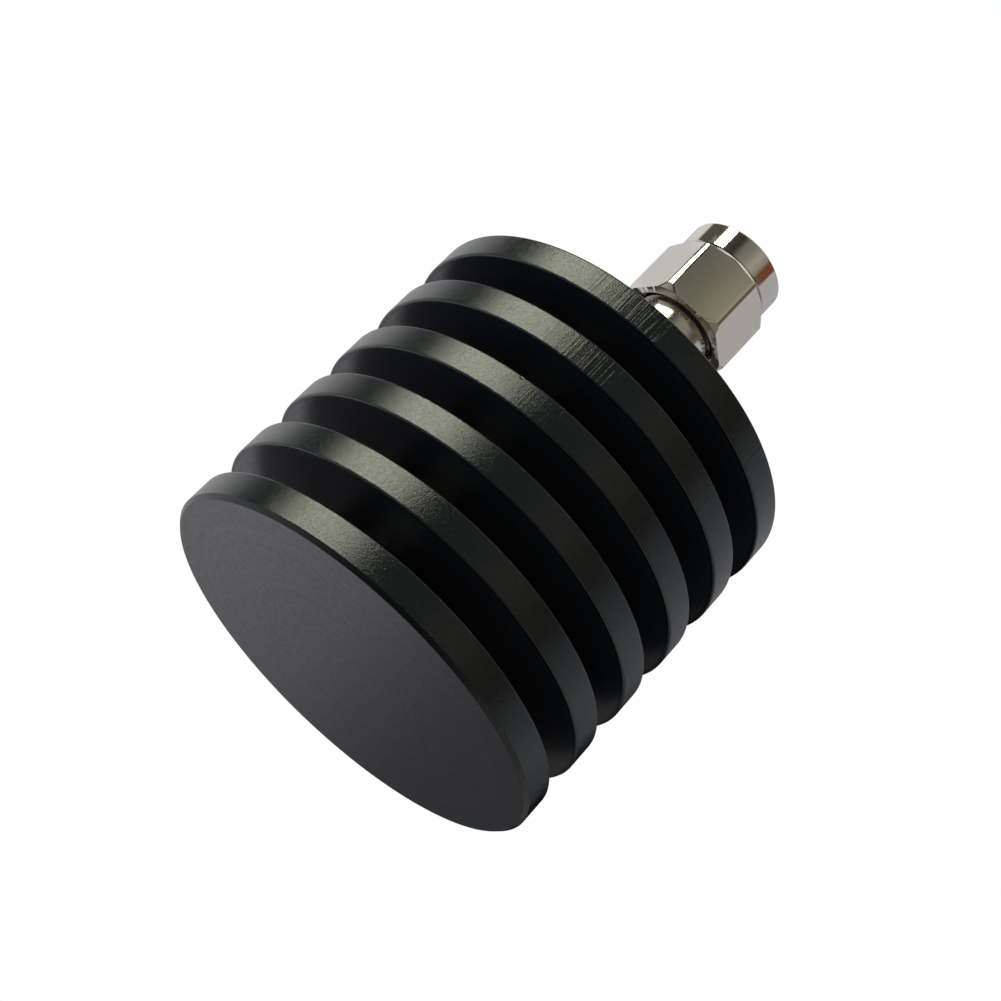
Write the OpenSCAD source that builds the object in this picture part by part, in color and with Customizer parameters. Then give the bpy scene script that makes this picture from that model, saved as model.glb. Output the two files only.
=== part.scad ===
// Finned coaxial termination: a turned and black-anodised aluminium heat sink that carries a plug connector
// with a captive hex coupling nut and, inside the bore, the power resistor that soaks up the signal.
// Millimetres. +Z runs along the connector axis, out of the plug. The closed end of the sink lies on z = 0.

/* [Heat sink] */
// Outside diameter of the fins
fin_d = 30; // [26:0.5:40]
// Length of the heat sink
sink_len = 26.9; // [24:0.1:32]
// Diameter of the core between the fins
core_d = 16; // [13:0.5:20]
// Number of fins
fin_count = 6; // [5:1:8]
// Thickness of one fin
fin_t = 2.2; // [1.5:0.1:2.5]
// Thickness of the fin at the closed end
end_fin_t = 2.4; // [1.5:0.1:3.5]
// Chamfer that breaks the edges of the fins
fin_chamfer = 0.1; // [0.05:0.05:0.4]
// Chamfer round the closed end
end_chamfer = 0.4; // [0.1:0.05:0.6]
// Corner radius left by the grooving tool
groove_r = 0.3; // [0.1:0.05:0.6]
// Countersink round the mouth of the bore
bore_chamfer = 0.25; // [0.1:0.05:0.5]
// Free space under the load in the blind bore
bore_relief = 0.5; // [0.2:0.1:1.5]

/* [Connector body] */
// Diameter of the neck behind the coupling nut
neck_d = 6.35; // [6.1:0.05:6.6]
// Neck length between the heat sink and the back of the nut
neck_len = 8.65; // [5:0.05:12]
// Diameter of the spigot that is pressed into the heat sink
spigot_d = 9; // [8:0.1:10.5]
// Length of the spigot
spigot_len = 4; // [3:0.25:6]
// Diameter of the carrier that holds the resistor
carrier_d = 7; // [6.7:0.1:7.6]
// Length of the carrier below the spigot
carrier_len = 15; // [14:0.25:16]
// Thickness of the closed foot at the end of the carrier
carrier_foot = 2; // [1:0.25:2.5]
// Length of the flat that is milled for the resistor
flat_len = 10.5; // [9.5:0.25:11]
// Chamfer on the turned edges of the body
body_chamfer = 0.3; // [0.1:0.05:0.5]

/* [Mating interface] */
// Depth of the reference plane below the mouth of the nut
plane_depth = 3.2; // [2.8:0.1:3.8]
// Outside diameter of the outer contact
contact_d = 4.57; // [4.5:0.01:4.6]
// Length of the outer contact in front of the gasket
contact_len = 2.15; // [2:0.05:2.6]
// Chamfer on the front edge of the outer contact
contact_chamfer = 0.12; // [0.05:0.01:0.15]
// Diameter of the insulator
insulator_d = 4.1; // [3.9:0.02:4.2]
// Diameter of the centre conductor inside the insulator
conductor_d = 1.27; // [1.1:0.01:1.4]
// Diameter of the contact pin
pin_d = 0.914; // [0.9:0.002:0.94]
// How far the contact pin stands out of the reference plane
pin_out = 2.3; // [1.9:0.05:2.54]
// Length of the tapered tip of the pin
pin_tip = 0.35; // [0.2:0.05:0.6]
// Diameter of the flat on the tip of the pin
pin_tip_d = 0.45; // [0.3:0.05:0.6]

/* [Coupling nut] */
// Width across the flats
hex_af = 8; // [7.9:0.02:8.6]
// Diameter over the turned-off hexagon corners
hex_corner_d = 9; // [8.8:0.05:9.3]
// Length of the hexagon
hex_len = 5.4; // [5:0.05:7]
// Diameter of the round nose
nose_d = 7.84; // [7.6:0.02:7.9]
// Length of the round nose
nose_len = 2.5; // [2:0.05:3.5]
// Bore over the coupling thread, at its major diameter
thread_d = 6.4; // [6.35:0.01:6.6]
// Countersink at the mouth of the thread
mouth_chamfer = 0.35; // [0.2:0.05:0.45]
// Small edge break on the outside of the nose
nose_chamfer = 0.2; // [0.05:0.05:0.3]
// Angle of the chamfer in front of the hexagon, from its end face, in degrees
hex_chamfer_deg = 30; // [20:1:45]
// Fillet between that chamfer and the nose
nose_fillet = 0.6; // [0.2:0.05:0.8]
// Radius of the turned rounding at the rear of the hexagon
rear_crown = 0.6; // [0.4:0.05:0.7]
// Depth of the countersink at the rear bore
rear_chamfer = 0.25; // [0.1:0.05:0.3]

/* [Retaining ring and gasket] */
// Thickness of the ring along the axis
ring_t = 0.5; // [0.4:0.05:0.6]
// Radial width of the ring
ring_w = 0.6; // [0.5:0.05:0.65]
// Gap in the split ring
ring_split = 1.2; // [0.6:0.1:2]
// Depth of the groove in the nut
nut_groove = 0.25; // [0.15:0.05:0.3]
// Depth of the groove in the neck
neck_groove = 0.55; // [0.5:0.05:0.65]
// Thickness of the gasket
gasket_t = 0.8; // [0.6:0.05:1]
// Radial step of the seat that carries the gasket
gasket_step = 0.19; // [0.17:0.01:0.25]

/* [Load resistor] */
// Width of the ceramic chip
chip_w = 5; // [4:0.1:5.6]
// Length of the ceramic chip
chip_len = 6; // [5:0.1:6.4]
// Thickness of the ceramic chip
chip_t = 1; // [0.6:0.05:1.2]
// Thickness of the ceramic cover over the resistive film
cover_t = 0.7; // [0.4:0.05:1]
// How far the cover stays inside the edges of the chip
cover_inset = 0.25; // [0.1:0.05:0.5]
// Width of the ribbon lead
lead_w = 1; // [0.6:0.05:1.2]
// Thickness of the ribbon lead
lead_t = 0.12; // [0.08:0.01:0.2]
// Length of ribbon that lies on the chip
lead_lap = 1.7; // [1.2:0.1:2]
// Length of ribbon inside the slotted tail of the conductor
lead_tail = 1.6; // [1.2:0.05:2]
// Length of the conductor tail behind the insulator
tail_len = 2.2; // [2:0.1:2.6]
// Gap between the chip and the tail of the conductor
chip_gap = 0.8; // [0.4:0.1:1.2]

/* [Fits] */
// Radial gap between diameters that seat in each other
seat_gap = 0.02; // [0.01:0.005:0.04]
// Radial running gap of the coupling nut on the neck
running_gap = 0.075; // [0.03:0.005:0.1]
// Gap on each side of the retaining ring
ring_gap = 0.05; // [0.03:0.01:0.1]

/* [Hidden] */
$fn = 96;

// Stations along the axis
fin_pitch = (sink_len - end_fin_t) / (fin_count - 1);
groove_w = fin_pitch - fin_t;
spigot_z = sink_len - spigot_len;
carrier_z = spigot_z - carrier_len;
bore_z = carrier_z - bore_relief;
nut_z = sink_len + neck_len;
nut_len = hex_len + nose_len;
mouth_z = nut_z + nut_len;
plane_z = mouth_z - plane_depth;
contact_z = plane_z - contact_len;
shoulder_z = contact_z - gasket_t;
ring_z = (nut_z + shoulder_z) / 2;
groove_low = ring_z - ring_t / 2 - ring_gap;
groove_high = ring_z + ring_t / 2 + ring_gap;
flat_z = carrier_z + carrier_foot;
insulator_z = flat_z + flat_len;
insulator_len = plane_z - insulator_z;
tail_z = insulator_z - tail_len;
lead_top_z = tail_z + lead_tail;
chip_top_z = tail_z - chip_gap;

// Radii that fit each other
nut_bore_r = neck_d / 2 + running_gap;
nut_groove_r = nut_bore_r + nut_groove;
ring_r = nut_groove_r - ring_gap;
neck_groove_r = neck_d / 2 - neck_groove;
gasket_seat_r = contact_d / 2 + gasket_step;
body_bore_r = insulator_d / 2 + seat_gap;

// The ribbon lies on the axis, so the chip and its flat sit below it
chip_y = -lead_t / 2 - chip_t;

// The heat sink in section

module groove_section() {
    depth = (fin_d - core_d) / 2;
    translate([core_d / 2 + groove_r, 0])
        square([depth, groove_w]);
    translate([core_d / 2, groove_r])
        square([depth, groove_w - 2 * groove_r]);
    for (y = [groove_r, groove_w - groove_r])
        translate([core_d / 2 + groove_r, y])
            circle(groove_r);
    polygon([
        [fin_d / 2 - fin_chamfer, 0],
        [fin_d / 2 + fin_chamfer, -2 * fin_chamfer],
        [fin_d / 2 + fin_chamfer, groove_w + 2 * fin_chamfer],
        [fin_d / 2 - fin_chamfer, groove_w]
    ]);
}

module bore_section() {
    carrier_r = carrier_d / 2 + seat_gap;
    spigot_r = spigot_d / 2 + seat_gap;
    polygon([
        [0, bore_z],
        [carrier_r, bore_z],
        [carrier_r, spigot_z],
        [spigot_r, spigot_z],
        [spigot_r, sink_len - bore_chamfer],
        [spigot_r + 2 * bore_chamfer, sink_len + bore_chamfer],
        [0, sink_len + bore_chamfer]
    ]);
}

module sink_outline() {
    polygon([
        [0, 0],
        [fin_d / 2 - end_chamfer, 0],
        [fin_d / 2, end_chamfer],
        [fin_d / 2, sink_len - fin_chamfer],
        [fin_d / 2 - fin_chamfer, sink_len],
        [0, sink_len]
    ]);
}

module heat_sink() {
    color("#202224")
        rotate_extrude()
            difference() {
                sink_outline();
                for (i = [0 : fin_count - 2])
                    translate([0, end_fin_t + i * fin_pitch])
                        groove_section();
                bore_section();
            }
}

// The connector body: one brass turning from the outer contact to the resistor carrier

module body_outline() {
    neck_r = neck_d / 2;
    spigot_r = spigot_d / 2;
    carrier_r = carrier_d / 2;
    contact_r = contact_d / 2;
    polygon([
        [0, carrier_z],
        [carrier_r - body_chamfer, carrier_z],
        [carrier_r, carrier_z + body_chamfer],
        [carrier_r, spigot_z],
        [spigot_r - body_chamfer, spigot_z],
        [spigot_r, spigot_z + body_chamfer],
        [spigot_r, sink_len - body_chamfer],
        [spigot_r - body_chamfer, sink_len],
        [neck_r, sink_len],
        [neck_r, groove_low],
        [neck_groove_r, groove_low],
        [neck_groove_r, groove_high],
        [neck_r, groove_high],
        [neck_r, shoulder_z],
        [gasket_seat_r, shoulder_z],
        [gasket_seat_r, contact_z],
        [contact_r, contact_z],
        [contact_r, plane_z - contact_chamfer],
        [contact_r - contact_chamfer, plane_z],
        [0, plane_z]
    ]);
}

module connector_body() {
    color("#c9c5bd")
        difference() {
            rotate_extrude()
                body_outline();
            translate([0, 0, insulator_z])
                cylinder(r = body_bore_r, h = 2 * insulator_len);
            translate([-carrier_d, chip_y, flat_z])
                cube([2 * carrier_d, 2 * carrier_d, flat_len]);
        }
}

// The coupling nut: hexagon bar with a turned nose, chamfered in front and rounded behind

module nut_envelope() {
    nose_r = nose_d / 2;
    corner_r = hex_corner_d / 2;
    rear_r = corner_r - rear_crown;
    crown_z = nut_z + rear_crown;
    hex_top = nut_z + hex_len;
    fillet_reach = nose_fillet / tan(45 + hex_chamfer_deg / 2);
    fillet_r = nose_r + nose_fillet;
    fillet_z = hex_top + fillet_reach;
    difference() {
        polygon([
            [0, nut_z],
            [rear_r, nut_z],
            [rear_r, crown_z],
            [corner_r, crown_z],
            [corner_r, hex_top - (corner_r - nose_r) * tan(hex_chamfer_deg)],
            [nose_r + fillet_reach * cos(hex_chamfer_deg), hex_top - fillet_reach * sin(hex_chamfer_deg)],
            [fillet_r, fillet_z],
            [nose_r, fillet_z],
            [nose_r, mouth_z - nose_chamfer],
            [nose_r - nose_chamfer, mouth_z],
            [0, mouth_z]
        ]);
        translate([fillet_r, fillet_z])
            circle(nose_fillet);
    }
    translate([rear_r, crown_z])
        circle(rear_crown);
}

module nut_bore() {
    thread_r = thread_d / 2;
    polygon([
        [0, nut_z - rear_chamfer],
        [nut_bore_r + 2 * rear_chamfer, nut_z - rear_chamfer],
        [nut_bore_r, nut_z + rear_chamfer],
        [nut_bore_r, groove_low],
        [nut_groove_r, groove_low],
        [nut_groove_r, groove_high],
        [nut_bore_r, groove_high],
        [nut_bore_r, contact_z],
        [thread_r, contact_z],
        [thread_r, mouth_z - mouth_chamfer],
        [thread_r + 2 * mouth_chamfer, mouth_z + mouth_chamfer],
        [0, mouth_z + mouth_chamfer]
    ]);
}

module coupling_nut() {
    color("#d4d0c8")
        difference() {
            intersection() {
                translate([0, 0, nut_z])
                    cylinder(d = hex_af / cos(30), h = nut_len, $fn = 6);
                rotate_extrude()
                    nut_envelope();
            }
            rotate_extrude()
                nut_bore();
        }
}

// The split ring that keeps the nut captive, and the gasket in front of the shoulder

module retaining_ring() {
    color("#b08d57")
        translate([0, 0, ring_z - ring_t / 2])
            difference() {
                cylinder(r = ring_r, h = ring_t);
                translate([0, 0, -ring_t])
                    cylinder(r = ring_r - ring_w, h = 3 * ring_t);
                translate([-ring_split / 2, 0, -ring_t])
                    cube([ring_split, 2 * ring_r, 3 * ring_t]);
            }
}

module gasket() {
    color("#a8452c")
        translate([0, 0, shoulder_z])
            difference() {
                cylinder(r = neck_d / 2 - running_gap, h = gasket_t);
                translate([0, 0, -gasket_t])
                    cylinder(r = gasket_seat_r + seat_gap, h = 3 * gasket_t);
            }
}

// Insulator and centre conductor

module insulator() {
    color("#f2f1ec")
        translate([0, 0, insulator_z])
            difference() {
                cylinder(d = insulator_d, h = insulator_len);
                translate([0, 0, -insulator_len])
                    cylinder(d = conductor_d + 2 * seat_gap, h = 3 * insulator_len);
            }
}

module centre_contact() {
    slot = lead_t + 2 * seat_gap;
    color("#c9a24b")
        difference() {
            rotate_extrude()
                polygon([
                    [0, tail_z],
                    [conductor_d / 2, tail_z],
                    [conductor_d / 2, plane_z],
                    [pin_d / 2, plane_z],
                    [pin_d / 2, plane_z + pin_out - pin_tip],
                    [pin_tip_d / 2, plane_z + pin_out],
                    [0, plane_z + pin_out]
                ]);
            translate([-conductor_d, -slot / 2, tail_z - seat_gap])
                cube([2 * conductor_d, slot, lead_tail + 2 * seat_gap]);
        }
}

// The power resistor: ceramic chip soldered to the flat, its cover, and the ribbon lead to the conductor

module resistor_chip() {
    color("#e8e4da")
        translate([-chip_w / 2, chip_y, chip_top_z - chip_len])
            cube([chip_w, chip_t, chip_len]);
}

module resistor_cover() {
    color("#dcd6c8")
        translate([-chip_w / 2 + cover_inset, chip_y + chip_t, chip_top_z - chip_len + cover_inset])
            cube([chip_w - 2 * cover_inset, cover_t, chip_len - lead_lap - 2 * cover_inset]);
}

module resistor_lead() {
    lead_z = chip_top_z - lead_lap;
    color("#d9dadb")
        translate([-lead_w / 2, -lead_t / 2, lead_z])
            cube([lead_w, lead_t, lead_top_z - lead_z]);
}

heat_sink();
connector_body();
coupling_nut();
retaining_ring();
gasket();
insulator();
centre_contact();
resistor_chip();
resistor_cover();
resistor_lead();
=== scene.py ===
"""Looks of a finned coaxial termination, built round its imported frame. Lengths are in metres."""

import math

import bpy
import numpy as np
from mathutils import Matrix, Vector


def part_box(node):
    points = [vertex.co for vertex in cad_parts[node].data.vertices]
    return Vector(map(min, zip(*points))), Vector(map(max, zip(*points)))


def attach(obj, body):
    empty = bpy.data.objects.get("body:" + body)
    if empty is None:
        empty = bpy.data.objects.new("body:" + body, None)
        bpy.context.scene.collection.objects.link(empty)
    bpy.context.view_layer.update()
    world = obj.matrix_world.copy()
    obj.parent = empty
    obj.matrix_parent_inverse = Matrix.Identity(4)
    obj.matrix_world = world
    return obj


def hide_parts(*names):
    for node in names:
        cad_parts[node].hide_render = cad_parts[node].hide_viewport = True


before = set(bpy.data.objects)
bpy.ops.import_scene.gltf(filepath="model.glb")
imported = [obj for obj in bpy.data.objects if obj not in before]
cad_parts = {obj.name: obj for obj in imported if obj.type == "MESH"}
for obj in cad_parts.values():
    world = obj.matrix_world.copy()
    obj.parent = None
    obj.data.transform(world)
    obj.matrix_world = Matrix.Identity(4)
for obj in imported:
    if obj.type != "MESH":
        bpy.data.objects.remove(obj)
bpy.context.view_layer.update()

# Heat sink
# One end of aluminium bar with five grooves turned into it, so that six round fins stay, and a stepped
# blind bore from the plug's side. It is blasted and black anodised. The rims keep the bar's own draw lines.
MM = 0.001
_, sink_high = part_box("heat_sink")
FIN_R = sink_high.x
SINK_TOP = sink_high.z
FIN_COUNT = 6
FIN_T = 2.2 * MM
END_FIN_T = 2.4 * MM
FIN_PITCH = (SINK_TOP - END_FIN_T) / (FIN_COUNT - 1)
CORE_R = 8 * MM
FIN_ROUND = 0.17 * MM
END_CHAMFER = 0.29 * MM
EDGE_ROUND = 0.06 * MM
GROOVE_ROUND = 0.3 * MM
SPIGOT_BORE_R = 4.52 * MM
SPIGOT_DEPTH = 4 * MM
CARRIER_BORE_R = 3.52 * MM
CARRIER_DEPTH = 19.5 * MM
BORE_CHAMFER = 0.25 * MM
SINK_SPOKES = 256
RIM_STEP = 0.2 * MM
SINK_ARC_STEP = 0.06 * MM
# A small knock on the upper edge of the fourth fin, at a turn from the front towards -X
NICK_SPOKES = 24
NICK_HALF_TURN = 0.06
NICK_R = 0.24 * MM
NICK_DEPTH = 0.14 * MM
NICK_TURN = math.radians(14.4)
NICK_HEIGHT = END_FIN_T + 3 * FIN_PITCH
NICK_FALL = 0.7
FACE_DYE = (0.009, 0.011, 0.014, 1)
RIM_DYE_DARK = (0.0013, 0.0030, 0.0037, 1)
RIM_DYE_LIGHT = (0.0028, 0.0050, 0.0057, 1)
BARE_METAL = (0.30, 0.30, 0.28, 1)
# Heights of the relief, in millimetres
FACE_GRAIN = 0.008
RIM_GRAIN = 0.0185
TURNED_RINGS = 0.010
DRAW_LINES = 0.0135


def rounded_path(corners, arc_step):
    """Points along a chain of straight lines whose corners are rounded.

    A corner is (r, z, radius). Its arc touches both lines at cut = radius / tan(half angle) from the corner
    and turns about a centre on the bisector: centre + (sin((1-t)w) a + sin(tw) b) / sin w, with w = 180 degrees
    less the angle. It has three steps at least, none longer than arc_step. A point beside each arc keeps the
    lines straight.
    """
    points = np.array([c[:2] for c in corners], float)
    path = [points[:1]]
    for before, corner, after, (_, _, radius) in zip(points, points[1:], points[2:], corners[1:]):
        back = (before - corner) / np.linalg.norm(before - corner)
        ahead = (after - corner) / np.linalg.norm(after - corner)
        half = math.acos(np.clip(back @ ahead, -1, 1)) / 2
        cut = radius / math.tan(half)
        centre = corner + cut * (back + ahead) / (2 * math.cos(half) ** 2)
        a, b = corner + cut * back, corner + cut * ahead
        w = math.pi - 2 * half
        t = np.linspace(0, 1, max(3, math.ceil(radius * w / arc_step)) + 1)[:, None]
        arc = centre + (np.sin((1 - t) * w) * (a - centre) + np.sin(t * w) * (b - centre)) / math.sin(w)
        path += [a[None] + 0.1 * cut * back, arc, b[None] + 0.1 * cut * ahead]
    return np.concatenate(path + [points[-1:]])


def finer(path, step, where):
    """The same chain with points put in evenly, so that no stretch marked in where exceeds the step."""
    stretch = np.diff(path, axis=0)
    count = np.where(where, np.maximum(1, np.ceil(np.linalg.norm(stretch, axis=1) / step)), 1).astype(int)
    start = np.repeat(np.arange(len(stretch)), count)
    share = (np.arange(count.sum()) - np.repeat(np.cumsum(count) - count, count)) / np.repeat(count, count)
    return np.concatenate([path[start] + share[:, None] * stretch[start], path[-1:]])


def mesh_piece(name, points, faces, attributes=()):
    """A smooth-shaded mesh object at the origin, with float attributes on its points."""
    mesh = bpy.data.meshes.new(name)
    mesh.from_pydata(points, [], faces)
    mesh.polygons.foreach_set("use_smooth", np.ones(len(mesh.polygons), bool))
    for key, values in attributes:
        mesh.attributes.new(key, "FLOAT", "POINT").data.foreach_set("value", values.astype(np.float32))
    mesh.update()
    piece = bpy.data.objects.new(name, mesh)
    bpy.context.scene.collection.objects.link(piece)
    return piece


def ring_faces(spokes, rings):
    """Quads between neighbouring rings of a turned grid: point = ring * spokes + spoke."""
    ring, spoke = np.meshgrid(np.arange(rings - 1), np.arange(spokes), indexing="ij")
    here, turn = ring * spokes, (spoke + 1) % spokes
    quads = [here + spoke, here + turn, here + spokes + turn, here + spokes + spoke]
    return np.stack(quads, -1).reshape(-1, 4)


groove_low = END_FIN_T + FIN_PITCH * np.arange(FIN_COUNT - 1)


def sink_profile():
    """The sink's section from the middle of the closed end, up the fins and down the bore, as (r, z)."""
    corners = [(0, 0, 0), (FIN_R - END_CHAMFER, 0, EDGE_ROUND), (FIN_R, END_CHAMFER, EDGE_ROUND)]
    for low in groove_low:
        high = low + FIN_PITCH - FIN_T
        corners += [
            (FIN_R, low, FIN_ROUND),
            (CORE_R, low, GROOVE_ROUND),
            (CORE_R, high, GROOVE_ROUND),
            (FIN_R, high, FIN_ROUND),
        ]
    corners += [
        (FIN_R, SINK_TOP, FIN_ROUND),
        (SPIGOT_BORE_R + BORE_CHAMFER, SINK_TOP, EDGE_ROUND),
        (SPIGOT_BORE_R, SINK_TOP - BORE_CHAMFER, EDGE_ROUND),
        (SPIGOT_BORE_R, SINK_TOP - SPIGOT_DEPTH, EDGE_ROUND),
        (CARRIER_BORE_R, SINK_TOP - SPIGOT_DEPTH, EDGE_ROUND),
        (CARRIER_BORE_R, SINK_TOP - CARRIER_DEPTH, EDGE_ROUND),
        (0, SINK_TOP - CARRIER_DEPTH, 0),
    ]
    path = rounded_path(corners, SINK_ARC_STEP)
    on_rim = np.minimum(path[:-1, 0], path[1:, 0]) > FIN_R - 0.001 * MM
    return finer(path, RIM_STEP, on_rim)


# The angle of a spoke counts from the front, -Y, towards -X
profile = sink_profile()
nick_angles = NICK_TURN + np.linspace(-NICK_HALF_TURN, NICK_HALF_TURN, NICK_SPOKES)
angles = np.unique(np.concatenate([np.linspace(0, 2 * np.pi, SINK_SPOKES, endpoint=False), nick_angles]))
rings = profile[1:-1]
sink_points = np.stack([
    -rings[:, :1] * np.sin(angles),
    -rings[:, :1] * np.cos(angles),
    np.repeat(rings[:, 1:], len(angles), 1),
], -1).reshape(-1, 3)

# The nick pushes the edge in along a smooth bowl: depth * (1 - (distance / radius)^2)^2
nick_at = np.array([-FIN_R * math.sin(NICK_TURN), -FIN_R * math.cos(NICK_TURN), NICK_HEIGHT])
nick_mask = np.clip(1 - np.sum((sink_points - nick_at) ** 2, 1) / NICK_R ** 2, 0, 1) ** 2
inward = np.array([math.sin(NICK_TURN), math.cos(NICK_TURN), -NICK_FALL])
sink_points += NICK_DEPTH * nick_mask[:, None] * inward

# Distance to the nearest edge of a rim, along the rim or in from it
edges = np.concatenate([[0, SINK_TOP], groove_low, groove_low + FIN_PITCH - FIN_T])
to_edge = np.abs(rings[:, 1:] - edges).min(1)
edge_gap = np.repeat(np.maximum(to_edge, FIN_R - rings[:, 0]), len(angles))

spokes = len(angles)
ring_count = len(rings)
poles = np.array([[0, 0, profile[0, 1]], [0, 0, profile[-1, 1]]])
spoke = np.arange(spokes)
last = (ring_count - 1) * spokes
end_fan = np.stack([np.full(spokes, len(sink_points)), (spoke + 1) % spokes, spoke], -1)
bore_fan = np.stack([np.full(spokes, len(sink_points) + 1), last + spoke, last + (spoke + 1) % spokes], -1)
heat_sink = mesh_piece(
    "finned_heat_sink",
    np.concatenate([sink_points, poles]),
    ring_faces(spokes, ring_count).tolist() + end_fan.tolist() + bore_fan.tolist(),
    [("nick", np.append(nick_mask, [0, 0])), ("edge_gap", np.append(edge_gap, [FIN_R, FIN_R]))],
)


def new_material(name):
    """An empty node material and its Principled shader."""
    material = bpy.data.materials.new(name)
    material.use_nodes = True
    return material, material.node_tree.nodes["Principled BSDF"]


def node(material, kind, inputs=(), **settings):
    """A node with its settings; each input takes a plain value or the output socket that feeds it."""
    made = material.node_tree.nodes.new(kind)
    for key, value in settings.items():
        setattr(made, key, value)
    for key, value in dict(inputs).items():
        if isinstance(value, bpy.types.NodeSocket):
            material.node_tree.links.new(value, made.inputs[key])
        else:
            made.inputs[key].default_value = value
    return made


def calc(material, operation, a, b=0.0, c=0.0):
    """The result of one Math node."""
    return node(material, "ShaderNodeMath", {0: a, 1: b, 2: c}, operation=operation).outputs[0]


def ramp(material, value, low, high, to_low=0.0, to_high=1.0):
    """A value carried from one range to another, held at its ends, with soft shoulders."""
    inputs = {"Value": value, "From Min": low, "From Max": high, "To Min": to_low, "To Max": to_high}
    return node(material, "ShaderNodeMapRange", inputs, interpolation_type="SMOOTHSTEP").outputs[0]


def noise(material, vector, scale, detail=2.0, roughness=0.5):
    """Noise of one scale on the given coordinates."""
    inputs = {"Vector": vector, "Scale": scale, "Detail": detail, "Roughness": roughness}
    return node(material, "ShaderNodeTexNoise", inputs).outputs["Fac"]


def mix(material, share, a, b):
    """Two colours mixed by a share."""
    inputs = {0: share, 6: a, 7: b}
    return node(material, "ShaderNodeMix", inputs, data_type="RGBA").outputs[2]


def object_place(material):
    """The piece's own coordinates, in metres."""
    return node(material, "ShaderNodeTexCoord").outputs["Object"]


def axis_split(material, place):
    """The three parts of a place, and its distance from the Z axis."""
    split = node(material, "ShaderNodeSeparateXYZ", {0: place}).outputs
    flat = node(material, "ShaderNodeCombineXYZ", {0: split[0], 1: split[1]}).outputs[0]
    return split, node(material, "ShaderNodeVectorMath", {0: flat}, operation="LENGTH").outputs["Value"]


def front_turn(material, split):
    """The angle about the Z axis in radians, from -Y towards +X."""
    return calc(material, "ARCTAN2", split[0], calc(material, "MULTIPLY", split[1], -1.0))


def between(material, value, rise, fall, left=0.0, top=1.0, right=0.0):
    """A bump over a range of a value: up from left to 1 along rise, down from top to right along fall."""
    risen = ramp(material, value, *rise, left, 1)
    return calc(material, "MULTIPLY", risen, ramp(material, value, *fall, top, right))


def bumped(material, height, distance):
    """The normal of a surface raised by the height times the distance."""
    inputs = {"Height": height, "Strength": 1.0, "Distance": distance}
    return node(material, "ShaderNodeBump", inputs).outputs[0]


def shader_inputs(material, shader, inputs):
    """Sets or feeds the sockets of a material's own shader."""
    for key, value in inputs.items():
        if isinstance(value, bpy.types.NodeSocket):
            material.node_tree.links.new(value, shader.inputs[key])
        else:
            shader.inputs[key].default_value = value


def black_anodise():
    """Black anodised aluminium: blasted grain, draw lines on the rims, turning rings on the faces."""
    material, shader = new_material("black_anodise")
    place = object_place(material)
    split, radius = axis_split(material, place)
    rim = ramp(material, radius, FIN_R - 0.34 * MM, FIN_R - 0.26 * MM)

    # Grain, rings on the faces, and draw lines along the bar that grow towards the plug and show in two
    # patches, one at the front and a narrow one on the right
    grain = noise(material, place, 10500.0, 1.0, 0.5)
    grain_height = ramp(material, rim, 0, 1, FACE_GRAIN, RIM_GRAIN)
    across = node(material, "ShaderNodeCombineXYZ", {0: radius}).outputs[0]
    turned = noise(material, across, 1500.0, 3.0, 0.7)
    faced = calc(material, "MULTIPLY", turned, ramp(material, rim, 0, 1, TURNED_RINGS, 0.0))
    along = node(material, "ShaderNodeMapping", {0: place, "Scale": (1.0, 1.0, 0.02)}).outputs[0]
    lines = ramp(material, noise(material, along, 5600.0, 2.0, 0.6), 0.46, 0.66)
    turn = front_turn(material, split)
    patch = between(material, turn, (-0.40, -0.26), (0.03, 0.12), left=0.15, right=0.15)
    side = between(material, turn, (0.65, 0.69), (0.75, 0.80), top=0.7)
    marked = calc(material, "MAXIMUM", patch, side)
    upward = ramp(material, split[2], 0.42 * SINK_TOP, SINK_TOP, 0, DRAW_LINES)
    line_height = calc(material, "MULTIPLY", marked, upward)
    drawn = calc(material, "MULTIPLY", calc(material, "MULTIPLY", lines, line_height), rim)
    height = calc(material, "MULTIPLY_ADD", grain, grain_height, calc(material, "ADD", drawn, faced))

    gap = node(material, "ShaderNodeAttribute", attribute_name="edge_gap").outputs["Fac"]
    nick = node(material, "ShaderNodeAttribute", attribute_name="nick").outputs["Fac"]
    worn = noise(material, place, 2600.0, 4.0, 0.7)
    near_edge = ramp(material, gap, 0.06 * MM, 0.16 * MM, 1, 0)
    rubbed = calc(material, "MULTIPLY", near_edge, ramp(material, worn, 0.35, 0.6, 0.3, 1))
    shade = noise(material, place, 900.0, 4.0, 0.6)
    rim_dye = mix(material, shade, RIM_DYE_DARK, RIM_DYE_LIGHT)
    dye = mix(material, rim, FACE_DYE, rim_dye)
    mottle = noise(material, place, 6000.0, 3.0, 0.6)
    rim_gloss = ramp(material, mottle, 0.30, 0.70, 0.30, 0.44)
    cloud = calc(material, "MULTIPLY_ADD", turned, 0.6, noise(material, place, 2200.0, 5.0, 0.7))
    face_gloss = ramp(material, cloud, 0.55, 1.05, 0.25, 0.54)
    gloss = ramp(material, rim, 0, 1, face_gloss, rim_gloss)
    shader_inputs(material, shader, {
        "Base Color": mix(material, ramp(material, nick, 0.1, 0.4, 0, 0.8), dye, BARE_METAL),
        "Roughness": ramp(material, grain, 0.25, 0.75, 0.18, 0.27),
        "Specular IOR Level": calc(material, "MULTIPLY_ADD", rubbed, 0.3, gloss),
        "Normal": bumped(material, height, MM),
    })
    return material


heat_sink.data.materials.append(black_anodise())
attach(heat_sink, "load")
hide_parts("heat_sink")

# Connector body
# One brass turning with bright nickel plate: the carrier and spigot pressed into the sink's bore, the neck
# that the nut turns on, and the outer contact at its front. Fine turning lines run round it.
NICKEL = (0.65, 0.615, 0.56, 1)
NICKEL_HAZE = (0.61, 0.57, 0.51, 1)


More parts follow.
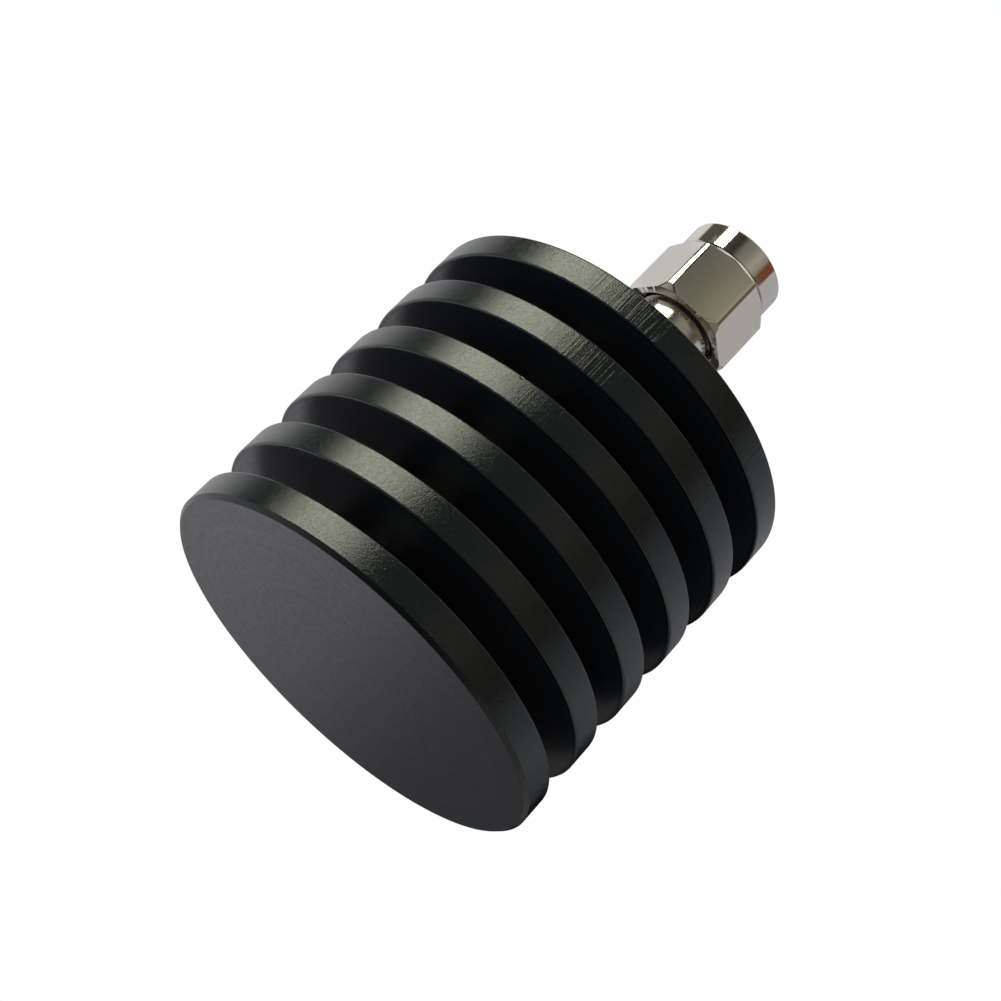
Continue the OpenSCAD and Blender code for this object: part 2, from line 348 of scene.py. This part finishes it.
def nickel_plate(name, line_scale, line_height, rough):
    """Bright nickel over machined brass: lines across the axis, faint mottling and haze."""
    material, shader = new_material(name)
    place = object_place(material)
    split = node(material, "ShaderNodeSeparateXYZ", {0: place}).outputs
    along = node(material, "ShaderNodeCombineXYZ", {0: split[2]}).outputs[0]
    lines = noise(material, along, line_scale, 2.0, 0.6)
    haze = noise(material, place, 900.0, 3.0, 0.6)
    bump = bumped(material, lines, line_height)
    shader_inputs(material, shader, {
        "Base Color": mix(material, haze, NICKEL_HAZE, NICKEL),
        "Metallic": 1.0,
        "Roughness": ramp(material, haze, 0.3, 0.7, rough, 1.7 * rough),
        "Normal": bump,
    })
    return material


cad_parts["connector_body"].material_slots[0].material = nickel_plate(
    "turned_nickel", 9000.0, 0.0006 * MM, 0.11)

# Load resistor
# A ceramic chip with a film resistor, soldered to the carrier's flat inside the sink, a ceramic cover
# over the film, and a soft silver ribbon to the conductor's tail. None of it shows from outside.


def fired_ceramic(name, tone):
    """Matt ceramic with fine grain and faint clouds in its tone."""
    material, shader = new_material(name)
    place = object_place(material)
    cloud = noise(material, place, 700.0, 4.0)
    grain = noise(material, place, 9000.0, 2.0)
    darker = tuple(0.88 * part for part in tone[:3]) + (1,)
    bump = bumped(material, grain, 0.004 * MM)
    shader_inputs(material, shader, {
        "Base Color": mix(material, cloud, darker, tone),
        "Roughness": ramp(material, grain, 0.3, 0.7, 0.5, 0.65),
        "Normal": bump,
    })
    return material


def soft_metal(name, dark, light, rough):
    """Bare or plated metal with a mottled tone, fine scratches along its length and uneven gloss."""
    material, shader = new_material(name)
    place = object_place(material)
    mottle = noise(material, place, 1500.0, 3.0)
    along = node(material, "ShaderNodeMapping", {0: place, "Scale": (1.0, 1.0, 0.05)}).outputs[0]
    scratch = noise(material, along, 12000.0, 2.0)
    bump = bumped(material, scratch, 0.0006 * MM)
    shader_inputs(material, shader, {
        "Base Color": mix(material, mottle, dark, light),
        "Metallic": 1.0,
        "Roughness": ramp(material, mottle, 0.3, 0.7, rough, 1.5 * rough),
        "Normal": bump,
    })
    return material


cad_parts["resistor_chip"].material_slots[0].material = fired_ceramic(
    "chip_ceramic", (0.80, 0.78, 0.72, 1))
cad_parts["resistor_cover"].material_slots[0].material = fired_ceramic(
    "cover_ceramic", (0.72, 0.69, 0.61, 1))
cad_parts["resistor_lead"].material_slots[0].material = soft_metal(
    "silver_ribbon", (0.70, 0.70, 0.70, 1), (0.82, 0.82, 0.82, 1), 0.22)

# Insulator
# A white fluoropolymer sleeve, turned from rod and pressed into the body. Its front face lies flush with
# the outer contact, deep in the mouth of the nut.


def fluoropolymer():
    """Waxy white plastic with faint turning rings round the axis."""
    material, shader = new_material("fluoropolymer")
    place = object_place(material)
    split, radius = axis_split(material, place)
    across = node(material, "ShaderNodeCombineXYZ", {0: radius, 1: split[2]}).outputs[0]
    rings = noise(material, across, 7000.0, 2.0)
    cloud = noise(material, place, 800.0, 3.0)
    bump = bumped(material, rings, 0.003 * MM)
    shader_inputs(material, shader, {
        "Base Color": mix(material, cloud, (0.78, 0.77, 0.73, 1), (0.86, 0.85, 0.82, 1)),
        "Roughness": ramp(material, rings, 0.3, 0.7, 0.38, 0.5),
        "Subsurface Weight": 0.15,
        "Subsurface Scale": 0.4 * MM,
        "Normal": bump,
    })
    return material


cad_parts["insulator"].material_slots[0].material = fluoropolymer()

# Centre contact
# A gold-plated brass pin that runs through the insulator. Its tapered tip stands in the mouth of the nut,
# and its slotted tail holds the ribbon.
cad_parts["centre_contact"].material_slots[0].material = soft_metal(
    "gold_plate", (0.78, 0.53, 0.19, 1), (0.88, 0.65, 0.28, 1), 0.16)

# Gasket and retaining ring
# A moulded red silicone ring lies on the neck's shoulder, and a split ring of spring bronze sits half in
# the neck's groove and half in the nut's, so that the nut stays on and turns.


def silicone():
    """Matt moulded silicone with soft mottling and a dusting of fine grain."""
    material, shader = new_material("silicone")
    place = object_place(material)
    cloud = noise(material, place, 1100.0, 3.0)
    grain = noise(material, place, 11000.0, 2.0)
    bump = bumped(material, grain, 0.004 * MM)
    shader_inputs(material, shader, {
        "Base Color": mix(material, cloud, (0.28, 0.05, 0.022, 1), (0.40, 0.085, 0.04, 1)),
        "Roughness": ramp(material, grain, 0.3, 0.7, 0.5, 0.68),
        "Normal": bump,
    })
    return material


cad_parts["gasket"].material_slots[0].material = silicone()
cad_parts["retaining_ring"].material_slots[0].material = soft_metal(
    "spring_bronze", (0.46, 0.28, 0.12, 1), (0.58, 0.38, 0.18, 1), 0.24)

# Coupling nut
# Hexagon brass bar with a turned round nose, both ends of the hexagon chamfered and its corners turned off,
# bored and grooved from behind and threaded from the front, with bright nickel plate. It turns on the neck.
nut_low, nut_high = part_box("coupling_nut")
NUT_REAR = nut_low.z
NUT_MOUTH = nut_high.z
HEX_HALF = nut_high.y
CORNER_R = nut_high.x
NOSE_R = 3.92 * MM
NOSE_LEN = 2.5 * MM
NOSE_FILLET = 0.6 * MM
CROWN_IN = 0.26 * MM
CROWN_UP = 0.52 * MM
CROWN_ROUND = 0.25 * MM
CHAMFER_SLOPE = math.tan(math.radians(30))
NUT_BORE_R = 3.25 * MM
NUT_GROOVE_R = 3.5 * MM
RING_GROOVE_LOW = NUT_REAR + 0.575 * MM
RING_GROOVE_HIGH = NUT_REAR + 1.175 * MM
THREAD_R = 3.2 * MM
THREAD_LOW = NUT_REAR + 2.55 * MM
MOUTH_CHAMFER = 0.35 * MM
NOSE_CHAMFER = 0.2 * MM
REAR_CHAMFER = 0.25 * MM
NUT_EDGE = 0.05 * MM
NUT_BLEND = 0.07 * MM
NUT_STEP = 0.04 * MM
CORNER_SHARE = 0.85
CORNER_SPOKES = 20
FLAT_SPOKES = 48


def hexagon_radius(angle):
    """Distance from the axis to the hexagon: half its width over cos(angle from the nearest flat)."""
    from_flat = np.mod(angle, math.pi / 3) - math.pi / 6
    return HEX_HALF / np.cos(from_flat)


def soft_least(a, b, blend):
    """The smaller of two lengths, with the corner between them rounded off over the blend."""
    near = np.clip(1 - np.abs(a - b) / blend, 0, 1)
    return np.minimum(a, b) - near ** 2 * blend / 4


def nut_section():
    """The nut's closed section, once round from the rear bore over the outside to the thread, as (r, z)."""
    hex_top = NUT_MOUTH - NOSE_LEN
    cone_front = hex_top - (CORNER_R - NOSE_R) * CHAMFER_SLOPE
    bore_middle = 0.5 * (NUT_REAR + REAR_CHAMFER + RING_GROOVE_LOW)
    corners = [
        (NUT_BORE_R, bore_middle, 0),
        (NUT_BORE_R, NUT_REAR + REAR_CHAMFER, NUT_EDGE),
        (NUT_BORE_R + REAR_CHAMFER, NUT_REAR, NUT_EDGE),
        (CORNER_R - CROWN_IN, NUT_REAR, NUT_EDGE),
        (CORNER_R, NUT_REAR + CROWN_UP, CROWN_ROUND),
        (CORNER_R, cone_front, NUT_EDGE),
        (NOSE_R, hex_top, NOSE_FILLET),
        (NOSE_R, NUT_MOUTH - NOSE_CHAMFER, NUT_EDGE),
        (NOSE_R - NOSE_CHAMFER, NUT_MOUTH, NUT_EDGE),
        (THREAD_R + MOUTH_CHAMFER, NUT_MOUTH, NUT_EDGE),
        (THREAD_R, NUT_MOUTH - MOUTH_CHAMFER, NUT_EDGE),
        (THREAD_R, THREAD_LOW, NUT_EDGE / 2),
        (NUT_BORE_R, THREAD_LOW, NUT_EDGE / 2),
        (NUT_BORE_R, RING_GROOVE_HIGH, NUT_EDGE),
        (NUT_GROOVE_R, RING_GROOVE_HIGH, NUT_EDGE),
        (NUT_GROOVE_R, RING_GROOVE_LOW, NUT_EDGE),
        (NUT_BORE_R, RING_GROOVE_LOW, NUT_EDGE),
        (NUT_BORE_R, bore_middle, 0),
    ]
    path = rounded_path(corners, NUT_STEP)
    outside = np.minimum(path[:-1, 0], path[1:, 0]) > NOSE_R
    on_cone = (path[:-1, 1] > cone_front - NUT_EDGE) | (path[1:, 1] < NUT_REAR + CROWN_UP)
    return finer(path, NUT_STEP, outside & on_cone)[:-1]


# One sixth of a turn from corner to corner, with spokes spaced apart for the flat and for its two ends
corner_turn = CORNER_SHARE * math.acos(HEX_HALF / CORNER_R)
sector = np.concatenate([
    np.linspace(0, corner_turn, CORNER_SPOKES, endpoint=False),
    np.linspace(corner_turn, math.pi / 3 - corner_turn, FLAT_SPOKES, endpoint=False),
    np.linspace(math.pi / 3 - corner_turn, math.pi / 3, CORNER_SPOKES, endpoint=False),
])
nut_angles = (np.arange(6)[:, None] * math.pi / 3 + sector + math.pi / 6).ravel()
section = nut_section()
nut_r = soft_least(section[:, :1], hexagon_radius(nut_angles)[None], NUT_BLEND)
nut_points = np.stack([
    nut_r * np.cos(nut_angles),
    nut_r * np.sin(nut_angles),
    np.repeat(section[:, 1:], len(nut_angles), 1),
], -1).reshape(-1, 3)
nut_faces = ring_faces(len(nut_angles), len(section) + 1) % len(nut_points)
coupling_nut = mesh_piece("hex_coupling_nut", nut_points, nut_faces.tolist())
nut_plate = nickel_plate("nut_nickel", 14000.0, 0.0002 * MM, 0.05)
coupling_nut.data.materials.append(nut_plate)
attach(coupling_nut, "nut")
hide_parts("coupling_nut")

# Coupling thread
# The right-hand thread cut in the nut, 36 turns to the inch. A ridge of 60 degree flanks stands on the wall
# of the bore and runs out to nothing at both ends.
THREAD_PITCH = 25.4 * MM / 36
THREAD_HEIGHT = 0.34 * MM
CREST_HALF = 0.05 * MM
ROOT_SINK = 0.02 * MM
THREAD_FIRST = THREAD_LOW + 0.5 * MM
THREAD_LAST = NUT_MOUTH - MOUTH_CHAMFER - 0.05 * MM
TURN_STEPS = 120
RUN_OUT_TURNS = 0.6

turns = (THREAD_LAST - THREAD_FIRST) / THREAD_PITCH
path = np.linspace(0, turns, int(turns * TURN_STEPS))
run_out = np.clip(np.minimum(path, turns - path) / RUN_OUT_TURNS, 0.02, 1)
tall = THREAD_HEIGHT * run_out
root_half = (CREST_HALF + THREAD_HEIGHT * math.tan(math.radians(30))) * np.sqrt(run_out)
ridge_r = np.stack([np.full_like(path, THREAD_R + ROOT_SINK), THREAD_R - tall, THREAD_R - tall,
                    np.full_like(path, THREAD_R + ROOT_SINK)], -1)
ridge_z = np.stack([-root_half, -CREST_HALF * run_out, CREST_HALF * run_out, root_half], -1)
ridge_z = ridge_z + (THREAD_FIRST + THREAD_PITCH * path)[:, None]
around = 2 * np.pi * path[:, None]
thread_points = np.stack([ridge_r * np.cos(around), ridge_r * np.sin(around), ridge_z], -1).reshape(-1, 3)
sides = 4
thread_faces = ring_faces(sides, len(path))[:, ::-1]
caps = [list(range(sides)), list(range(len(thread_points) - 1, len(thread_points) - 1 - sides, -1))]
thread = mesh_piece("coupling_thread", thread_points, thread_faces.tolist() + caps)
thread.data.polygons.foreach_set("use_smooth", np.zeros(len(thread.data.polygons), bool))
thread.data.materials.append(nut_plate)
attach(thread, "nut")

# Camera
# It looks from a little below the closed end and a little to the right, rolled so that the axis runs from
# lower left to upper right.
CAMERA_AT = Vector((8.201, -121.368, -38.890)) * MM
CAMERA_AIM = Vector((-0.465, 0.059, 16.401)) * MM
CAMERA_ROLL = math.radians(43.935)
CAMERA_LENS = 70.338
camera_data = bpy.data.cameras.new("camera")
camera_data.sensor_width = 36
camera_data.lens = CAMERA_LENS
camera_data.clip_start = 0.005
camera_data.clip_end = 10
camera = bpy.data.objects.new("camera", camera_data)
turn = (CAMERA_AIM - CAMERA_AT).to_track_quat("-Z", "Y").to_matrix().to_4x4()
camera.matrix_world = Matrix.Translation(CAMERA_AT) @ turn @ Matrix.Rotation(CAMERA_ROLL, 4, "Z")
bpy.context.scene.collection.objects.link(camera)
bpy.context.scene.camera = camera
bpy.context.scene.view_settings.view_transform = "Standard"

# Floor
# A pale sheet under the closed end. It shows only from above, so the view from below the sink keeps its white
# ground, and it fades to white away from the part.
FLOOR_R = 0.45
FLOOR_DROP = 0.05 * MM
bpy.ops.mesh.primitive_circle_add(vertices=96, radius=FLOOR_R, fill_type="NGON", location=(0, 0, -FLOOR_DROP))
floor = bpy.context.object
floor.name = "floor"


def surface_only(material, shader, surface):
    """Puts another surface in the place of the Principled shader."""
    material.node_tree.links.new(surface, material.node_tree.nodes["Material Output"].inputs["Surface"])
    material.node_tree.nodes.remove(shader)


def pale_floor():
    """Diffuse near the part, white light further out, and clear from below."""
    material, shader = new_material("pale_floor")
    place = object_place(material)
    radius = node(material, "ShaderNodeVectorMath", {0: place}, operation="LENGTH").outputs["Value"]
    paper = noise(material, place, 300.0, 3.0)
    tone = mix(material, paper, (0.80, 0.80, 0.80, 1), (0.84, 0.84, 0.84, 1))
    matt = node(material, "ShaderNodeBsdfDiffuse", {"Color": tone}).outputs[0]
    white = node(material, "ShaderNodeEmission", {"Color": (1, 1, 1, 1), "Strength": 1.0}).outputs[0]
    clear = node(material, "ShaderNodeBsdfTransparent").outputs[0]
    away = ramp(material, radius, 0.05, 0.20)
    seen = node(material, "ShaderNodeMixShader", {0: away, 1: matt, 2: white}).outputs[0]
    below = node(material, "ShaderNodeNewGeometry").outputs["Backfacing"]
    surface = node(material, "ShaderNodeMixShader", {0: below, 1: seen, 2: clear}).outputs[0]
    surface_only(material, shader, surface)
    return material


floor.data.materials.append(pale_floor())
floor.visible_diffuse = False
floor.visible_glossy = False
floor.visible_transmission = False
floor.visible_shadow = False

# Tent
# A tall round screen of dim cloth with a dark bottom stands about the part, out of the camera's sight. It is
# pale behind the part and darker towards the camera, which gives the bright metal something to mirror.
CAMERA_SIDE = math.atan2(CAMERA_AT.x, -CAMERA_AT.y)
TENT_R = 0.42
TENT_TOP = 1.0
TENT_BOTTOM = -0.6
TENT_SPOKES = 144
# Angle from the camera's side in degrees, positive towards +X, and the cloth's colour there, above and below
TENT_OVER = [
    (-180, (0.34, 0.34, 0.37)),
    (-166, (0.48, 0.48, 0.52)),
    (-145, (0.86, 0.86, 0.865)),
    (-118, (0.91, 0.91, 0.91)),
    (-111, (0.12, 0.12, 0.10)),
    (-76, (0.10, 0.10, 0.082)),
    (-40, (0.03, 0.03, 0.024)),
    (-24, (0.05, 0.05, 0.041)),
    (-12, (0.225, 0.22, 0.19)),
    (4, (0.265, 0.26, 0.225)),
    (26, (0.47, 0.45, 0.39)),
    (42, (0.35, 0.32, 0.27)),
    (50, (0.165, 0.136, 0.087)),
    (67, (0.175, 0.146, 0.12)),
    (71, (0.54, 0.55, 0.575)),
    (120, (0.56, 0.57, 0.60)),
    (180, (0.34, 0.34, 0.37)),
]
TENT_UNDER = [
    (-180, (0.53, 0.53, 0.56)),
    (-172, (1.0, 1.0, 1.04)),
    (-95, (0.62, 0.62, 0.63)),
    (-70, (0.45, 0.44, 0.43)),
    (-45, (0.14, 0.125, 0.10)),
    (30, (0.14, 0.125, 0.10)),
    (42, (0.24, 0.21, 0.165)),
    (66, (0.24, 0.21, 0.165)),
    (80, (0.50, 0.49, 0.48)),
    (130, (0.40, 0.39, 0.39)),
    (155, (0.13, 0.13, 0.13)),
    (172, (0.20, 0.20, 0.20)),
    (177, (0.20, 0.20, 0.20)),
    (180, (0.53, 0.53, 0.56)),
]

tent_turn = np.linspace(0, 2 * np.pi, TENT_SPOKES, endpoint=False)
tent_points = np.concatenate([
    np.stack([r * np.sin(tent_turn), -r * np.cos(tent_turn), np.full(TENT_SPOKES, z)], -1)
    for r, z in ((0.001, TENT_BOTTOM), (TENT_R, TENT_BOTTOM), (TENT_R, TENT_TOP))
])
tent = mesh_piece("tent", tent_points, ring_faces(TENT_SPOKES, 3).tolist())
tent.rotation_euler.z = CAMERA_SIDE


def colour_by_angle(material, share, cloth):
    """A colour ramp over the whole turn, from -180 to 180 degrees."""
    made = node(material, "ShaderNodeValToRGB", {"Fac": share})
    marks = made.color_ramp.elements
    for angle, colour in cloth[1:-1]:
        marks.new((angle + 180) / 360)
    for mark, (angle, colour) in zip(marks, cloth):
        mark.position = (angle + 180) / 360
        mark.color = (*colour, 1)
    return made.outputs["Color"]


def tent_cloth():
    """Dim light of the cloth's colour by the angle round the axis, one row above and one below."""
    material, shader = new_material("tent_cloth")
    place = object_place(material)
    split, radius = axis_split(material, place)
    turn = front_turn(material, split)
    whole = {"Value": turn, "From Min": -math.pi, "From Max": math.pi}
    share = node(material, "ShaderNodeMapRange", whole).outputs[0]
    over = colour_by_angle(material, share, TENT_OVER)
    under = colour_by_angle(material, share, TENT_UNDER)
    cloth = mix(material, ramp(material, split[2], -0.08, 0.04), under, over)
    wall = ramp(material, radius, 0.8 * TENT_R, 0.99 * TENT_R, 0.25, 1.0)
    behind = ramp(material, calc(material, "ABSOLUTE", turn), 2.4, 2.75)
    shadow = between(material, split[2], (-0.165, -0.105), (-0.06, 0), top=0.7)
    dusk = calc(material, "MULTIPLY_ADD", calc(material, "MULTIPLY", behind, shadow), -1.0, 1.0)
    falling = calc(material, "MULTIPLY", dusk, ramp(material, split[2], 0.32, 0.6, 1.0, 0.4))
    strength = calc(material, "MULTIPLY", wall, falling)
    glow = node(material, "ShaderNodeEmission", {"Color": cloth, "Strength": strength}).outputs[0]
    surface_only(material, shader, glow)
    material.cycles.emission_sampling = "NONE"
    return material


tent.data.materials.append(tent_cloth())
tent.visible_camera = False
tent.visible_diffuse = False
tent.visible_shadow = False

# Cards
# Small bent cards near the part, out of the camera's sight. They stand at heights that only the rims' right
# ends or only the nut mirror: dark ones for the rims, a tone for each flat of the nut and for the neck, a warm
# stripe for the nose, and two that mask the key light to a narrow stripe there.
RIM_CARD = 40 * MM
NUT_CARD = 100 * MM
FLATS = (96.3 * MM, 106.4 * MM)
CARD_STEPS = 24


def card(name, radius, turns, heights, low_colour, high_colour=None, rise=None, sweep=None):
    """An upright card bent round the axis that glows, between two turns in degrees from the camera's side.

    Its colour runs from the low one to the high one between two heights, rise, or between two turns, sweep.
    """
    turn, height = np.meshgrid(np.linspace(*turns, CARD_STEPS), heights)
    around = CAMERA_SIDE + np.radians(turn)
    points = np.stack([radius * np.sin(around), -radius * np.cos(around), height], -1).reshape(-1, 3)
    share = np.zeros(turn.shape)
    if rise:
        share = (height - rise[0]) / (rise[1] - rise[0])
    if sweep:
        share = (turn - sweep[0]) / (sweep[1] - sweep[0])
    step = np.arange(CARD_STEPS - 1)
    faces = np.stack([step, step + 1, step + CARD_STEPS + 1, step + CARD_STEPS], -1)
    made = mesh_piece(name, points, faces.tolist(), [("share", share.ravel())])
    material, shader = new_material(name)
    colour = (*low_colour, 1)
    if high_colour:
        share = node(material, "ShaderNodeAttribute", attribute_name="share").outputs["Fac"]
        colour = mix(material, ramp(material, share, 0, 1), colour, (*high_colour, 1))
    glow = node(material, "ShaderNodeEmission", {"Color": colour, "Strength": 1.0}).outputs[0]
    surface_only(material, shader, glow)
    material.cycles.emission_sampling = "NONE"
    made.data.materials.append(material)
    made.visible_camera = False
    made.visible_diffuse = False
    made.visible_shadow = False
    return made


card("side_card", RIM_CARD, (98, 122), (0, 49 * MM),
     (0.155, 0.16, 0.17), (0.52, 0.53, 0.55), rise=(0, 49 * MM))
card("dark_card", RIM_CARD, (122, 176), (0, 49 * MM),
     (0, 0, 0), (0.36, 0.36, 0.37), rise=(16 * MM, 45 * MM))
card("low_card", RIM_CARD, (176, 188), (2 * MM, 26 * MM), (0.06, 0.045, 0.03))
card("front_card", NUT_CARD, (-14, 14), FLATS,
     (0.165, 0.17, 0.135), (0.375, 0.365, 0.28), sweep=(-9.4, -4.6))
card("left_card", NUT_CARD, (-134, -121), FLATS, (0.767, 0.781, 0.78))
card("right_card", NUT_CARD, (72, 124), (FLATS[0], 116 * MM), (0.557, 0.55, 0.574))
card("neck_card", NUT_CARD, (-8, 56), (90 * MM, FLATS[0]),
     (0.26, 0.25, 0.20), (0.08, 0.06, 0.04), sweep=(-8, 36))
card("brown_card", NUT_CARD, (49, 71), (107 * MM, 113 * MM), (0.23, 0.07, 0.04))
left_mask = card("left_mask", NUT_CARD, (-84, -69), (102 * MM, 150 * MM), (0.10, 0.10, 0.082))
right_mask = card("right_mask", NUT_CARD, (-46, -28), (98 * MM, 150 * MM), (0.05, 0.05, 0.041))
left_mask.visible_shadow = True
right_mask.visible_shadow = True

# Key light
# One soft box to the left of the camera and a little above the part. It draws the pale band down the rims and
# the white stripe on the nut's nose.
KEY_TURN = CAMERA_SIDE - math.radians(58)
KEY_RISE = math.radians(24.4)
KEY_DISTANCE = 0.30
KEY_WIDTH = 0.212
KEY_HEIGHT = 0.18
KEY_RADIANCE = 8.4
key_direction = Vector((
    math.cos(KEY_RISE) * math.sin(KEY_TURN),
    -math.cos(KEY_RISE) * math.cos(KEY_TURN),
    math.sin(KEY_RISE),
))
key_data = bpy.data.lights.new("key", "AREA")
key_data.shape = "RECTANGLE"
key_data.size = KEY_WIDTH
key_data.size_y = KEY_HEIGHT
key_data.energy = KEY_RADIANCE * math.pi * KEY_WIDTH * KEY_HEIGHT
key_data.color = (0.98, 1.0, 0.80)
key = bpy.data.objects.new("key", key_data)
key.location = key_direction * KEY_DISTANCE + Vector((0, 0, 0.5 * SINK_TOP))
key.rotation_euler = key_direction.to_track_quat("Z", "Y").to_euler()
key.visible_camera = False
bpy.context.scene.collection.objects.link(key)

# Surroundings
# A white ground behind everything, which the camera and the bright metal see, and a softer fill for the rest.
FILL = 0.55
world = bpy.data.worlds.new("white_ground")
bpy.context.scene.world = world
world.use_nodes = True
rays = node(world, "ShaderNodeLightPath").outputs
seen = calc(world, "ADD", rays["Is Camera Ray"], rays["Is Glossy Ray"])
seen = calc(world, "ADD", seen, rays["Is Transmission Ray"])
level = node(world, "ShaderNodeMapRange", {"Value": seen, "To Min": FILL, "To Max": 1.0}).outputs[0]
ground = world.node_tree.nodes["Background"]
ground.inputs["Color"].default_value = (1, 1, 1, 1)
world.node_tree.links.new(level, ground.inputs["Strength"])
world.cycles.sampling_method = "NONE"
